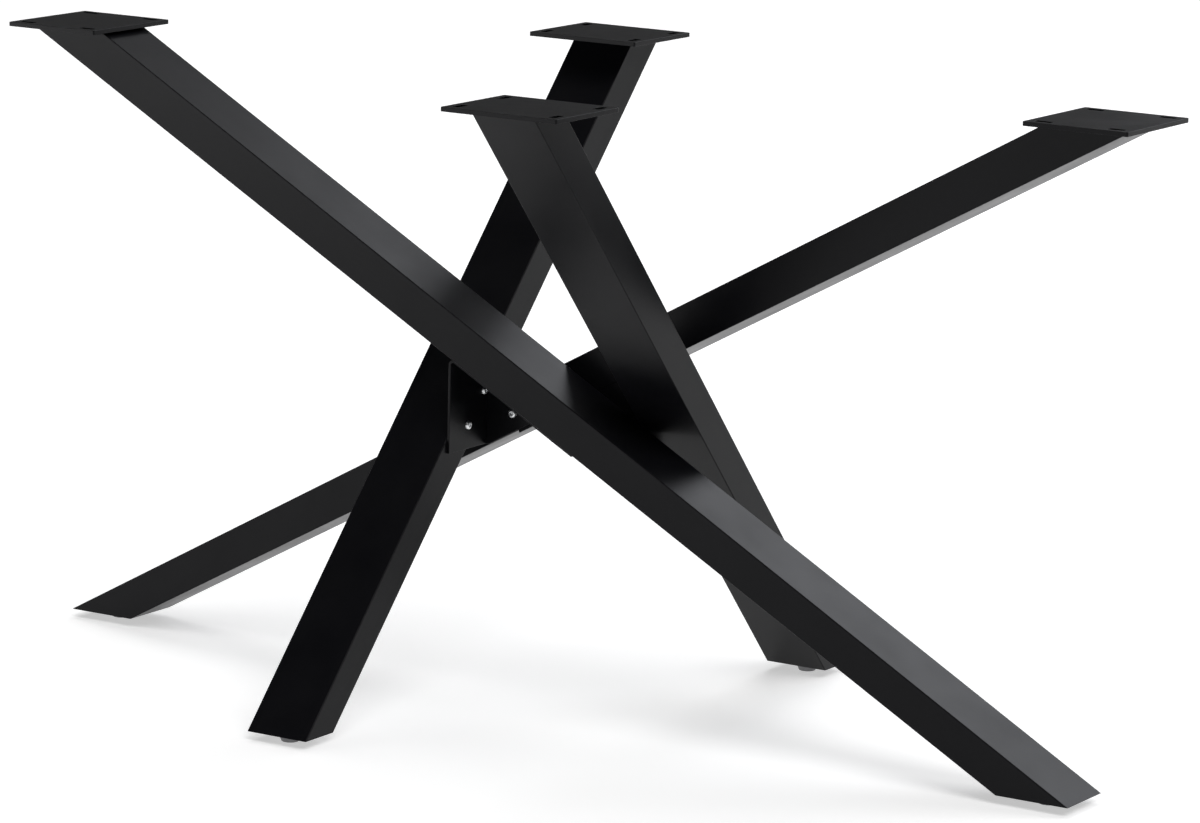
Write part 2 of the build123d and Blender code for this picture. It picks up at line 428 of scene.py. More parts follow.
@dataclass(frozen=True)
class PowderCoat(Finish):
    """Baked black powder: satin, with a faint orange peel and a slightly uneven gloss."""

    name: str = "black powder coat"
    colour: Colour = (0.0040, 0.0040, 0.0052, 1.0)
    cloud_colour: Colour = (0.0056, 0.0056, 0.0068, 1.0)
    roughness_low: float = 0.30
    roughness_high: float = 0.37
    cloud_scale: float = 14.0
    relief_scale: float = 700.0
    relief_detail: float = 2.0
    relief_depth: float = 0.00004
    relief_strength: float = 0.22
    specular_level: float = 0.12

    def build(self, groups: SurfaceGroups) -> bpy.types.Material:
        """Build the material.

        Args:
            groups: The shared shader groups.

        Returns:
            The material.
        """
        material, wiring, shader = start_material(self.name)
        clouds = self.place_clouds(wiring, groups)
        self.cover(wiring, shader, clouds["Cloud"], clouds["Height"])
        shader.inputs["Specular IOR Level"].default_value = self.specular_level
        return material


@dataclass(frozen=True)
class BareMetal(Finish):
    """Plated or plain steel, with stains of colour and gloss, and rings where the piece was turned."""

    cloud_scale: float = 260.0
    relief_scale: float = 2400.0
    relief_detail: float = 3.0
    relief_depth: float = 0.00003
    relief_strength: float = 0.15
    ring_attribute: str = ""
    ring_scale: float = 5200.0
    broad_ring_share: float = 0.12
    grain_share: float = 0.3

    def build(self, groups: SurfaceGroups) -> bpy.types.Material:
        """Build the material.

        Args:
            groups: The shared shader groups.

        Returns:
            The material.
        """
        material, wiring, shader = start_material(self.name)
        clouds = self.place_clouds(wiring, groups)
        mask, height = clouds["Cloud"], clouds["Height"]
        if self.ring_attribute:
            along = wiring.add("ShaderNodeAttribute", attribute_name=self.ring_attribute)
            turning = wiring.add("ShaderNodeGroup", node_tree=groups.turning)
            wiring.tree.links.new(along.outputs["Fac"], turning.inputs["Along"])
            turning.inputs["Ring Scale"].default_value = self.ring_scale
            turning.inputs["Broad Share"].default_value = self.broad_ring_share
            mask = wiring.math("MULTIPLY", mask, turning.outputs["Ring"])
            grain = wiring.math("MULTIPLY", height, self.grain_share)
            height = wiring.math("ADD", grain, turning.outputs["Height"])
        self.cover(wiring, shader, mask, height)
        shader.inputs["Metallic"].default_value = 1.0
        return material


class Finishes:
    """Every finish of the frame."""

    def __init__(self) -> None:
        """Build all materials."""
        groups = SurfaceGroups()
        self.powder = PowderCoat().build(groups)
        # Darker colour and no gloss on the slot walls: painted shade inside the narrow slots
        self.slot_painted_shade = PowderCoat(
            name="painted shade in slots", colour=(0.0010, 0.0010, 0.0012, 1.0),
            cloud_colour=(0.0016, 0.0016, 0.0019, 1.0), roughness_low=0.55, roughness_high=0.70,
            specular_level=0.0).build(groups)
        self.nickel = BareMetal(
            name="turned nickel", colour=(0.22, 0.22, 0.225, 1.0), cloud_colour=(0.12, 0.12, 0.125, 1.0),
            roughness_low=0.18, roughness_high=0.32, ring_attribute=TURNED_LENGTH).build(groups)
        self.zinc = BareMetal(
            name="bright zinc", colour=(0.86, 0.87, 0.88, 1.0), cloud_colour=(0.70, 0.71, 0.72, 1.0),
            roughness_low=0.26, roughness_high=0.42).build(groups)
        self.steel = BareMetal(
            name="plain steel", colour=(0.42, 0.42, 0.42, 1.0), cloud_colour=(0.24, 0.23, 0.22, 1.0),
            roughness_low=0.38, roughness_high=0.55, cloud_scale=120.0).build(groups)


def coat_node(node: str, material: bpy.types.Material) -> None:
    """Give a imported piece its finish."""
    frame["nodes"][node].material_slots[0].material = material
    log.info("%s: %s on the packed piece", node, material.name)


def finish_piece(piece: bpy.types.Object, slot: Slot, *nodes: str) -> bpy.types.Object:
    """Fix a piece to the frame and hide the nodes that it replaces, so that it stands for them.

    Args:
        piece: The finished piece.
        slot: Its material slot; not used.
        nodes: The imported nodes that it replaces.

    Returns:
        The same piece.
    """
    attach(piece, BODY)
    if nodes:
        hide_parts(*nodes)
    log.info("%s: %d faces", piece.name, len(piece.data.polygons))
    return piece


# The frame's own parts


@dataclass
class BoxLeg:
    """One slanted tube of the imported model, with the lines that other pieces follow.

    Lengths run along the leg's upright plane, positive towards its foot.
    """

    node: str
    along: Vector
    low: Vector = field(init=False)
    high: Vector = field(init=False)
    top: float = field(init=False)
    foot: float = field(init=False)
    top_ends: tuple[float, float] = field(init=False)
    foot_ends: tuple[float, float] = field(init=False)

    def __post_init__(self) -> None:
        """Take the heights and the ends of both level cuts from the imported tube."""
        self.low, self.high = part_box(self.node)
        self.foot, self.top = self.low.z, self.high.z
        self.top_ends, self.foot_ends = self.cut_ends(self.top), self.cut_ends(self.foot)

    def cut_ends(self, height: float) -> tuple[float, float]:
        """Both ends of a level cut through the tube.

        Args:
            height: The cut's height.

        Returns:
            The places of its lower and its upper edge along the leg's plane.
        """
        corners = [point.co for point in frame["nodes"][self.node].data.vertices]
        places = [place.dot(self.along) for place in corners if abs(place.z - height) < MERGE_DISTANCE]
        return min(places), max(places)

    def edge(self, side: Side, height: float) -> float:
        """Place of a line of the leg along its plane.

        Args:
            side: Which line.
            height: The height at which it is asked for.

        Returns:
            The place.
        """
        near, far = (1 - side.value) / 2, (1 + side.value) / 2
        foot = self.foot_ends[0] * near + self.foot_ends[1] * far
        top = self.top_ends[0] * near + self.top_ends[1] * far
        return foot + (top - foot) * (height - self.foot) / (self.top - self.foot)

    def edge_height(self, side: Side, place: float) -> float:
        """Height of a line of the leg at a place along its plane."""
        foot, top = self.edge(side, self.foot), self.edge(side, self.top)
        return self.foot + (self.top - self.foot) * (place - foot) / (top - foot)

    def slope(self, side: Side) -> float:
        """Angle of a line of the leg above the floor, in radians."""
        return math.atan2(self.top - self.foot, self.edge(side, self.foot) - self.edge(side, self.top))


@dataclass
class SheetPart:
    """Plate or bracket of sheet steel, whose cut edges the baked powder rounds off."""

    node: str
    edge_radius: float = 0.0004
    edge_segments: int = 2
    sharpest_round: float = math.radians(35)

    def blank(self) -> bmesh.types.BMesh:
        """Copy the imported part.

        Returns:
            The part with square edges, its loose triangles merged.
        """
        shell = bmesh.new()
        shell.from_mesh(frame["nodes"][self.node].data)
        bmesh.ops.remove_doubles(shell, verts=shell.verts, dist=MERGE_DISTANCE)
        return shell

    def coats(self, finishes: Finishes) -> list[bpy.types.Material]:
        """Materials of the part, by their number on its faces."""
        return [finishes.powder]

    def build(self, finishes: Finishes) -> bpy.types.Object:
        """Make the piece with its outer edges rounded.

        Args:
            finishes: The frame's finishes.

        Returns:
            The piece, which stands for its node.
        """
        shell = self.blank()
        bmesh.ops.dissolve_limit(shell, angle_limit=FLAT_ANGLE, verts=shell.verts, edges=shell.edges)
        bmesh.ops.recalc_face_normals(shell, faces=shell.faces)
        share = shell.edges.layers.float.new("bevel_weight_edge")
        for edge in shell.edges:
            edge[share] = float(edge.calc_face_angle_signed() > self.sharpest_round)
        piece = new_object(f"{self.node}_coated", mesh_from(shell, f"{self.node}_coated"))
        for coat in self.coats(finishes):
            piece.data.materials.append(coat)
        rounding = piece.modifiers.new("powder edge", "BEVEL")
        rounding.width = self.edge_radius
        rounding.segments = self.edge_segments
        rounding.limit_method = "WEIGHT"
        rounding.use_clamp_overlap = False
        smooth_flats(piece, self.sharpest_round)
        make_plain(piece)
        log.info("%s: edges rounded %.2f mm", piece.name, self.edge_radius * MILLIMETRES)
        return finish_piece(piece, Slot.POWDER, self.node)


@dataclass
class TopPlate(SheetPart):
    """Flat plate on the head of a leg, with crisp corners and a slot near each of them."""

    edge_radius: float = 0.00025
    corner_radius: float = 0.0018
    corner_steps: int = 6
    slot_length: float = 0.019
    slot_width: float = 0.0082
    slot_corner_radius: float = 0.0018
    slot_pitches: tuple[float, float] = (0.086, 0.120)
    # Number of the coat that paints shade on the slot walls
    painted_shade_coat: int = 1

    def outlines(self, spans: Vector) -> list[list[Vector]]:
        """Outer edge of the plate and the edges of its four slots, which run along its short side.

        Args:
            spans: Length of the plate along X and along Y.

        Returns:
            The points of each closed outline, about the middle of the plate.
        """
        pitches, slot = Vector(self.slot_pitches), Vector((self.slot_length, self.slot_width))
        if spans.x > spans.y:
            pitches, slot = pitches.yx, slot.yx
        found = [rounded_rectangle(Vector((0, 0)), spans, self.corner_radius, self.corner_steps)]
        for x in (-0.5, 0.5):
            for y in (-0.5, 0.5):
                centre = Vector((x * pitches.x, y * pitches.y))
                found.append(rounded_rectangle(centre, slot, self.slot_corner_radius, self.corner_steps))
        return found

    def blank(self) -> bmesh.types.BMesh:
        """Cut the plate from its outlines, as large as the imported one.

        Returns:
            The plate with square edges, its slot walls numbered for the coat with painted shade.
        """
        low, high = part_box(self.node)
        middle = (low + high) / 2
        shell = bmesh.new()
        for outline in self.outlines((high - low).xy):
            ring = [shell.verts.new((middle.x + place.x, middle.y + place.y, high.z)) for place in outline]
            for pair in zip(ring, ring[1:] + ring[:1]):
                shell.edges.new(pair)
        bmesh.ops.triangle_fill(shell, use_beauty=True, edges=shell.edges)
        sunk = bmesh.ops.extrude_face_region(shell, geom=shell.faces[:])["geom"]
        for point in sunk:
            if isinstance(point, bmesh.types.BMVert):
                point.co.z = low.z
        shell.normal_update()
        inner = (high - low).xy / 2 - Vector((self.corner_radius, self.corner_radius))
        for face in shell.faces:
            reach = face.calc_center_median() - middle
            inside = abs(reach.x) < inner.x and abs(reach.y) < inner.y
            if inside and abs(face.normal.z) < STEEP_NORMAL:
                face.material_index = self.painted_shade_coat
        return shell

    def coats(self, finishes: Finishes) -> list[bpy.types.Material]:
        """Powder outside, and darker powder without gloss on the slot walls, as painted shade."""
        return [finishes.powder, finishes.slot_painted_shade]


@dataclass
class PlateWeld:
    """Rippled weld bead round the head of a leg, where it meets its top plate."""

    leg: BoxLeg
    flush: bool
    bead_radius: float = 0.0016
    bead_sides: int = 12
    ripple_pitch: float = 0.0030
    ripple_share: float = 0.10
    steps_per_ripple: int = 4
    corner_radius: float = 0.0030
    corner_steps: int = 6
    flush_inset: float = 0.004

    @classmethod
    def tree(cls) -> bpy.types.NodeTree:
        """Build the nodes that run the bead round a rectangle.

        Returns:
            Tree with the bead's sizes and place as its inputs.
        """
        tree = bpy.data.node_groups.new("weld bead", "GeometryNodeTree")
        declare(tree, "INPUT", {
            "Width": "NodeSocketFloat", "Depth": "NodeSocketFloat", "Corner Radius": "NodeSocketFloat",
            "Bead Radius": "NodeSocketFloat", "Ripple Pitch": "NodeSocketFloat",
            "Ripple Share": "NodeSocketFloat", "Centre": "NodeSocketVector", "Coat": "NodeSocketMaterial"})
        declare(tree, "OUTPUT", {"Geometry": "NodeSocketGeometry"})
        wiring = Wiring(tree)
        given = wiring.add("NodeGroupInput").outputs
        around = wiring.add("GeometryNodeCurvePrimitiveQuadrilateral", {
            "Width": given["Width"], "Height": given["Depth"]})
        rounded = wiring.add("GeometryNodeFilletCurve", {
            "Curve": around.outputs["Curve"], "Count": cls.corner_steps, "Radius": given["Corner Radius"],
            "Limit Radius": True}, mode="POLY")
        placed = wiring.add("GeometryNodeTransform", {
            "Geometry": rounded.outputs["Curve"], "Translation": given["Centre"]})
        step = wiring.math("MULTIPLY", given["Ripple Pitch"], 1 / cls.steps_per_ripple)
        stepped = wiring.add("GeometryNodeResampleCurve", {
            "Curve": placed.outputs["Geometry"], "Length": step}, mode="LENGTH")
        length = wiring.add("GeometryNodeSplineParameter").outputs["Length"]
        turns = wiring.math("DIVIDE", wiring.math("MULTIPLY", length, math.tau), given["Ripple Pitch"])
        ripple = wiring.math("MULTIPLY", wiring.math("SINE", turns), given["Ripple Share"])
        swell = wiring.math("ADD", ripple, 1.0)
        profile = wiring.add("GeometryNodeCurvePrimitiveCircle", {
            "Resolution": cls.bead_sides, "Radius": given["Bead Radius"]})
        bead = wiring.add("GeometryNodeCurveToMesh", {
            "Curve": stepped.outputs["Curve"], "Profile Curve": profile.outputs["Curve"], "Scale": swell})
        soft = wiring.add("GeometryNodeSetShadeSmooth", {"Geometry": bead.outputs["Mesh"]})
        real = wiring.add("GeometryNodeRealizeInstances", {"Geometry": soft.outputs["Geometry"]})
        coated = wiring.add("GeometryNodeSetMaterial", {
            "Geometry": real.outputs["Geometry"], "Material": given["Coat"]})
        wiring.add("NodeGroupOutput", {"Geometry": coated.outputs["Geometry"]})
        return tree

    def outline(self) -> tuple[Vector, tuple[float, float]]:
        """Find the rectangle that the bead follows.

        Returns:
            Its centre, and its length along X and along Y.
        """
        centre_along = self.leg.edge(Side.CENTRE, self.leg.top)
        run = self.leg.top_ends[1] - self.leg.top_ends[0]
        if self.flush:
            centre_along += self.flush_inset / 2
            run -= self.flush_inset
        across = Vector((abs(self.leg.along.y), abs(self.leg.along.x), 0))
        middle = (self.leg.low + self.leg.high) / 2
        centre = self.leg.along * centre_along + across * middle.dot(across)
        centre.z = self.leg.top
        width = (self.leg.high - self.leg.low).dot(across)
        return centre, (run, width) if self.leg.along.x else (width, run)

    def build(self, tree: bpy.types.NodeTree, finishes: Finishes) -> bpy.types.Object:
        """Run the bead round the leg.

        Args:
            tree: The weld bead's nodes.
            finishes: The frame's finishes.

        Returns:
            The weld bead.
        """
        centre, (width, depth) = self.outline()
        bead = new_object(self.leg.node.replace("leg", "weld"), bpy.data.meshes.new("weld bead"))
        nodes = bead.modifiers.new("bead", "NODES")
        nodes.node_group = tree
        set_inputs(nodes, {
            "Width": width, "Depth": depth, "Corner Radius": self.corner_radius,
            "Bead Radius": self.bead_radius, "Ripple Pitch": self.ripple_pitch,
            "Ripple Share": self.ripple_share, "Centre": tuple(centre), "Coat": finishes.powder})
        make_plain(bead)
        return finish_piece(bead, Slot.POWDER)


@dataclass
class Glide:
    """Turned glide under a foot, with rounded rims, a tapered base and a threaded stud."""

    node: str
    top_diameter: float = 0.0242
    base_diameter: float = 0.0196
    taper_height: float = 0.0055
    disc_height: float = 0.010
    rim_radius: float = 0.0009
    waist_radius: float = 0.0018
    stud_diameter: float = 0.008
    thread_pitch: float = 0.00125
    thread_depth: float = 0.0005
    turns: int = 72
    sharpest_round: float = math.radians(38)

    def profile(self, top: float) -> list[tuple[float, float]]:
        """Side view of half the glide.

        Args:
            top: Height of the stud's end.

        Returns:
            Distances from the axis and heights, from the middle of the base to the end of the stud.
        """
        stud = self.stud_diameter / 2
        base = (self.base_diameter / 2, 0.0)
        waist = (self.top_diameter / 2, self.taper_height)
        rim = (self.top_diameter / 2, self.disc_height)
        points = [(0.0, 0.0)]
        points += rounded_corner(points[0], base, waist, self.rim_radius)
        points += rounded_corner(base, waist, rim, self.waist_radius)
        points += rounded_corner(waist, rim, (stud, self.disc_height), self.rim_radius)
        height, crest = self.disc_height, True
        while height < top - self.thread_pitch:
            points.append((stud if crest else stud - self.thread_depth, height))
            height += self.thread_pitch / 2
            crest = not crest
        return points + [(stud - self.thread_depth, top - self.thread_depth / 2),
                         (stud - 2 * self.thread_depth, top), (0.0, top)]

    def build(self, finishes: Finishes) -> bpy.types.Object:
        """Turn the glide.

        Args:
            finishes: The frame's finishes.

        Returns:
            The glide, which stands for its node.
        """
        low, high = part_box(self.node)
        axis = Vector(((low.x + high.x) / 2, (low.y + high.y) / 2, 0))
        profile = self.profile(high.z - low.z)
        shell = bmesh.new()
        length_layer = shell.verts.layers.float.new(TURNED_LENGTH)
        along, last, ring = 0.0, profile[0], []
        for radius, height in profile:
            along += math.dist(last, (radius, height))
            last = (radius, height)
            point = shell.verts.new((axis.x + radius, axis.y, low.z + height))
            point[length_layer] = along
            ring.append(point)
        edges = [shell.edges.new(pair) for pair in zip(ring, ring[1:])]
        bmesh.ops.spin(shell, geom=ring + edges, cent=axis, axis=(0, 0, 1), angle=math.tau, steps=self.turns)
        bmesh.ops.remove_doubles(shell, verts=shell.verts, dist=MERGE_DISTANCE)
        bmesh.ops.recalc_face_normals(shell, faces=shell.faces)
        piece = new_object(f"{self.node}_turned", mesh_from(shell, f"{self.node}_turned"))
        piece.data.materials.append(finishes.nickel)
        smooth_flats(piece, self.sharpest_round)
        make_plain(piece)
        return finish_piece(piece, Slot.NICKEL, self.node)


@dataclass
class LegAssembly:
    """A leg with the top plate, weld bead, foot plate and glide at its ends."""

    name: str
    along: Vector
    flush_weld: bool = False

    def build(self, weld_tree: bpy.types.NodeTree, finishes: Finishes) -> BoxLeg:
        """Dress the leg and make its fittings.

        Args:
            weld_tree: The weld bead's nodes.
            finishes: The frame's finishes.

        Returns:
            The leg, with the lines that other pieces follow.
        """
        leg = BoxLeg(self.name, self.along)
        coat_node(self.name, finishes.powder)
        TopPlate(self.name.replace("leg", "top_plate")).build(finishes)
        PlateWeld(leg, self.flush_weld).build(weld_tree, finishes)
        coat_node(self.name.replace("leg", "foot_plate"), finishes.powder)
        Glide(self.name.replace("leg", "glide")).build(finishes)
        return leg


@dataclass
class ButtonHeadScrews:
    """Ten button head screws with hexagon sockets, each through a bracket into a leg."""

    front_leg: BoxLeg
    back_leg: BoxLeg
    cross_leg: BoxLeg
    bracket_node: str = "corner_bracket_left"
    head_diameter: float = 0.0105
    head_height: float = 0.0033
    rim_height: float = 0.0006
    crown_flat_diameter: float = 0.0056
    socket_size: float = 0.004
    socket_depth: float = 0.0022
    socket_chamfer: float = 0.0003
    shank_diameter: float = 0.006
    shank_length: float = 0.016
    thread_pitch: float = 0.001
    thread_depth: float = 0.0003
    bracket_sheet: float = 0.003
    flange_rise: float = 0.0452
    flange_pitch: float = 0.048
    gusset_reach: float = 0.0675
    gusset_drop: float = 0.0027
    shelf_reach: float = 0.022
    shelf_pitch: float = 0.104
    spin_seed: int = 7
    head_sides: int = 48
    crown_rings: int = 9
    shank_sides: int = 24
    socket_sides: int = 6
    sharpest_round: float = math.radians(30)

    def lengths(self) -> dict[str, float]:
        """Collect the sizes that the nodes take.

        Returns:
            The sizes, by the name of the tree input that takes each.
        """
        sizes = ("head_diameter", "head_height", "rim_height", "crown_flat_diameter", "socket_size",
                 "socket_depth", "socket_chamfer", "shank_diameter", "shank_length", "thread_pitch",
                 "thread_depth")
        return {socket_name(size): getattr(self, size) for size in sizes}

    def seats(self) -> list[tuple[Vector, Vector]]:
        """Seats of all screws.

        Returns:
            The centre of each head's seat, and the way that the head faces.
        """
        found = []
        slope = self.front_leg.slope(Side.LOWER)
        into_leg = Vector((math.sin(slope), 0, math.cos(slope)))
        middle_y = (self.front_leg.low.y + self.front_leg.high.y) / 2
        for step in (-0.5, 0.5):
            x = -self.shelf_reach + step * self.shelf_pitch
            touch = Vector((x, middle_y, self.front_leg.edge_height(Side.LOWER, x)))
            found.append((touch - into_leg * self.bracket_sheet, -into_leg))
        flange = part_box(self.bracket_node)[0]
        rise = self.flange_pitch * math.sin(self.cross_leg.slope(Side.CENTRE))
        for step in (-0.5, 0.5):
            height = flange.z + self.flange_rise + step * rise
            y = self.cross_leg.along.y * self.cross_leg.edge(Side.CENTRE, height)
            found.append((Vector((flange.x + self.bracket_sheet, y, height)), Vector((1, 0, 0))))
        height = self.back_leg.edge_height(Side.CENTRE, self.gusset_reach) - self.gusset_drop
        found.append((Vector((-self.gusset_reach, -self.bracket_sheet / 2, height)), Vector((0, -1, 0))))
        return found + [(half_turned(seat), half_turned(facing)) for seat, facing in found]

    def crown_level(self, wiring: Wiring, given: bpy.types.NodeOutputs,
                    reach: bpy.types.NodeSocket) -> bpy.types.NodeSocket:
        """Height of the domed head over its seat.

        Args:
            wiring: The tree's wiring.
            given: The tree's inputs.
            reach: Distance from the screw's axis.

        Returns:
            The height: level over the flat of the crown, then falling to the rim on a quarter ellipse.
        """
        flat = wiring.math("MULTIPLY", given["Crown Flat Diameter"], 0.5)
        radius = wiring.math("MULTIPLY", given["Head Diameter"], 0.5)
        beyond = wiring.math("MAXIMUM", wiring.math("SUBTRACT", reach, flat), 0.0)
        share = wiring.math("DIVIDE", beyond, wiring.math("SUBTRACT", radius, flat))
        left = wiring.math("SUBTRACT", 1.0, wiring.math("MULTIPLY", share, share))
        fall = wiring.math("SQRT", wiring.math("MAXIMUM", left, 0.0))
        dome = wiring.math("SUBTRACT", given["Head Height"], given["Rim Height"])
        return wiring.math("ADD", given["Rim Height"], wiring.math("MULTIPLY", dome, fall))

    def head(self, wiring: Wiring, given: bpy.types.NodeOutputs) -> bpy.types.NodeSocket:
        """Nodes of the head: a dome with a flat crown and a rim, and a chamfered hexagon socket cut in it.

        Args:
            wiring: The tree's wiring.
            given: The tree's inputs.

        Returns:
            The head, with its seat at the origin.
        """
        radius = wiring.math("MULTIPLY", given["Head Diameter"], 0.5)
        blank = wiring.add("GeometryNodeMeshCylinder", {
            "Vertices": self.head_sides, "Side Segments": 1, "Fill Segments": self.crown_rings,
            "Radius": radius, "Depth": given["Head Height"]}, fill_type="TRIANGLE_FAN")
        place = wiring.add("ShaderNodeSeparateXYZ", {0: wiring.add("GeometryNodeInputPosition").outputs[0]})
        x, y, z = place.outputs
        squares = wiring.math("ADD", wiring.math("MULTIPLY", x, x), wiring.math("MULTIPLY", y, y))
        crown = self.crown_level(wiring, given, wiring.math("SQRT", squares))
        level = wiring.math("MULTIPLY", crown, wiring.math("GREATER_THAN", z, 0.0))
        moved = wiring.add("ShaderNodeCombineXYZ", {"X": x, "Y": y, "Z": level})
        domed = wiring.add("GeometryNodeSetPosition", {
            "Geometry": blank.outputs["Mesh"], "Position": moved.outputs[0]})
        corner = wiring.math("DIVIDE", given["Socket Size"], math.sqrt(3))
        hexagon = wiring.add("GeometryNodeMeshCylinder", {
            "Vertices": self.socket_sides, "Radius": corner,
            "Depth": wiring.math("MULTIPLY", given["Socket Depth"], 2.0)})
        mouth = wiring.add("GeometryNodeMeshCone", {
            "Vertices": self.head_sides,
            "Radius Bottom": wiring.math("SUBTRACT", corner, given["Socket Chamfer"]),
            "Radius Top": wiring.math("ADD", corner, given["Socket Chamfer"]),
            "Depth": wiring.math("MULTIPLY", given["Socket Chamfer"], 2.0)})
        up = wiring.add("ShaderNodeCombineXYZ", {"Z": given["Head Height"]})
        mouth_floor = wiring.math("SUBTRACT", given["Head Height"], given["Socket Chamfer"])
        lowered = wiring.add("ShaderNodeCombineXYZ", {"Z": mouth_floor})
        cutter = wiring.add("GeometryNodeTransform", {
            "Geometry": hexagon.outputs["Mesh"], "Translation": up.outputs[0]})
        mouth_cutter = wiring.add("GeometryNodeTransform", {
            "Geometry": mouth.outputs["Mesh"], "Translation": lowered.outputs[0]})
        cut = wiring.add("GeometryNodeMeshBoolean", {"Mesh 1": domed.outputs["Geometry"]},
                         operation="DIFFERENCE", solver="EXACT")
        wiring.tree.links.new(cutter.outputs["Geometry"], cut.inputs["Mesh 2"])
        wiring.tree.links.new(mouth_cutter.outputs["Geometry"], cut.inputs["Mesh 2"])
        return cut.outputs["Mesh"]

    def shank(self, wiring: Wiring, given: bpy.types.NodeOutputs) -> bpy.types.NodeSocket:
        """Nodes of the threaded shank.

        Args:
            wiring: The tree's wiring.
            given: The tree's inputs.

        Returns:
            The shank, which runs down from the origin.
        """
        turns = round(self.shank_length / self.thread_pitch)
        radius = wiring.math("MULTIPLY", given["Shank Diameter"], 0.5)
        rod = wiring.add("GeometryNodeMeshCylinder", {
            "Vertices": self.shank_sides, "Side Segments": 2 * turns, "Depth": given["Shank Length"],
            "Radius": radius})
        place = wiring.add("ShaderNodeSeparateXYZ", {0: wiring.add("GeometryNodeInputPosition").outputs[0]})
        x, y, z = place.outputs
        wave = wiring.math("PINGPONG", z, wiring.math("MULTIPLY", given["Thread Pitch"], 0.5))
        bite = wiring.math("MULTIPLY", wiring.math("DIVIDE", wave, given["Thread Pitch"]),
                           wiring.math("MULTIPLY", given["Thread Depth"], 2.0))
        shrink = wiring.math("SUBTRACT", 1.0, wiring.math("DIVIDE", bite, radius))
        cut = wiring.add("ShaderNodeCombineXYZ", {
            "X": wiring.math("MULTIPLY", x, shrink), "Y": wiring.math("MULTIPLY", y, shrink), "Z": z})
        threaded = wiring.add("GeometryNodeSetPosition", {
            "Geometry": rod.outputs["Mesh"], "Position": cut.outputs[0]})
        down = wiring.add("ShaderNodeCombineXYZ", {"Z": wiring.math("MULTIPLY", given["Shank Length"], -0.5)})
        moved = wiring.add("GeometryNodeTransform", {
            "Geometry": threaded.outputs["Geometry"], "Translation": down.outputs[0]})
        return moved.outputs["Geometry"]

    def tree(self) -> bpy.types.NodeTree:
        """Build the nodes that set a screw on each seat.

        Returns:
            Tree with the screw's sizes as its inputs.
        """
        tree = bpy.data.node_groups.new("button head screws", "GeometryNodeTree")
        declare(tree, "INPUT", {"Seats": "NodeSocketGeometry"})
        declare(tree, "INPUT", {name: "NodeSocketFloat" for name in self.lengths()})
        declare(tree, "INPUT", {"Spin Seed": "NodeSocketInt", "Plating": "NodeSocketMaterial"})
        declare(tree, "OUTPUT", {"Geometry": "NodeSocketGeometry"})
        wiring = Wiring(tree)
        given = wiring.add("NodeGroupInput").outputs
        whole = wiring.add("GeometryNodeJoinGeometry")
        tree.links.new(self.head(wiring, given), whole.inputs[0])
        tree.links.new(self.shank(wiring, given), whole.inputs[0])
        facing = wiring.add("GeometryNodeInputNamedAttribute", {"Name": FACING}, data_type="FLOAT_VECTOR")
        aligned = wiring.add("FunctionNodeAlignRotationToVector", {
            "Vector": facing.outputs["Attribute"]}, axis="Z")
        spin = wiring.add("FunctionNodeRandomValue", {"Seed": given["Spin Seed"]}, data_type="FLOAT")
        spin.inputs[RANDOM_FLOAT_MAX].default_value = math.tau / self.socket_sides
        around = wiring.add("FunctionNodeAxisAngleToRotation", {
            "Axis": (0, 0, 1), "Angle": spin.outputs[RANDOM_FLOAT]})
        turned = wiring.add("FunctionNodeRotateRotation", {
            "Rotation": aligned.outputs["Rotation"], "Rotate By": around.outputs["Rotation"]},
            rotation_space="LOCAL")
        placed = wiring.add("GeometryNodeInstanceOnPoints", {
            "Points": given["Seats"], "Instance": whole.outputs[0], "Rotation": turned.outputs["Rotation"]})
        real = wiring.add("GeometryNodeRealizeInstances", {"Geometry": placed.outputs["Instances"]})
        plated = wiring.add("GeometryNodeSetMaterial", {
            "Geometry": real.outputs["Geometry"], "Material": given["Plating"]})
        wiring.add("NodeGroupOutput", {"Geometry": plated.outputs["Geometry"]})
        return tree

    def build(self, finishes: Finishes) -> bpy.types.Object:
        """Set all screws.

        Args:
            finishes: The frame's finishes.

        Returns:
            The ten screws as one piece, which stands for the node of the plain ones.
        """
        seats = self.seats()
        mesh = bpy.data.meshes.new("screw seats")
        mesh.from_pydata([seat for seat, _ in seats], [], [])
        facing = mesh.attributes.new(FACING, "FLOAT_VECTOR", "POINT")
        for item, (_, direction) in zip(facing.data, seats):
            item.vector = direction
        screws = new_object("socket_screws", mesh)
        nodes = screws.modifiers.new("screws", "NODES")
        nodes.node_group = self.tree()
        set_inputs(nodes, self.lengths() | {"Spin Seed": self.spin_seed, "Plating": finishes.zinc})
        make_plain(screws)
        smooth_flats(screws, self.sharpest_round)
        make_plain(screws)
        log.info("%s: %d screws", screws.name, len(seats))
        return finish_piece(screws, Slot.ZINC, "button_head_screws")


# Studio


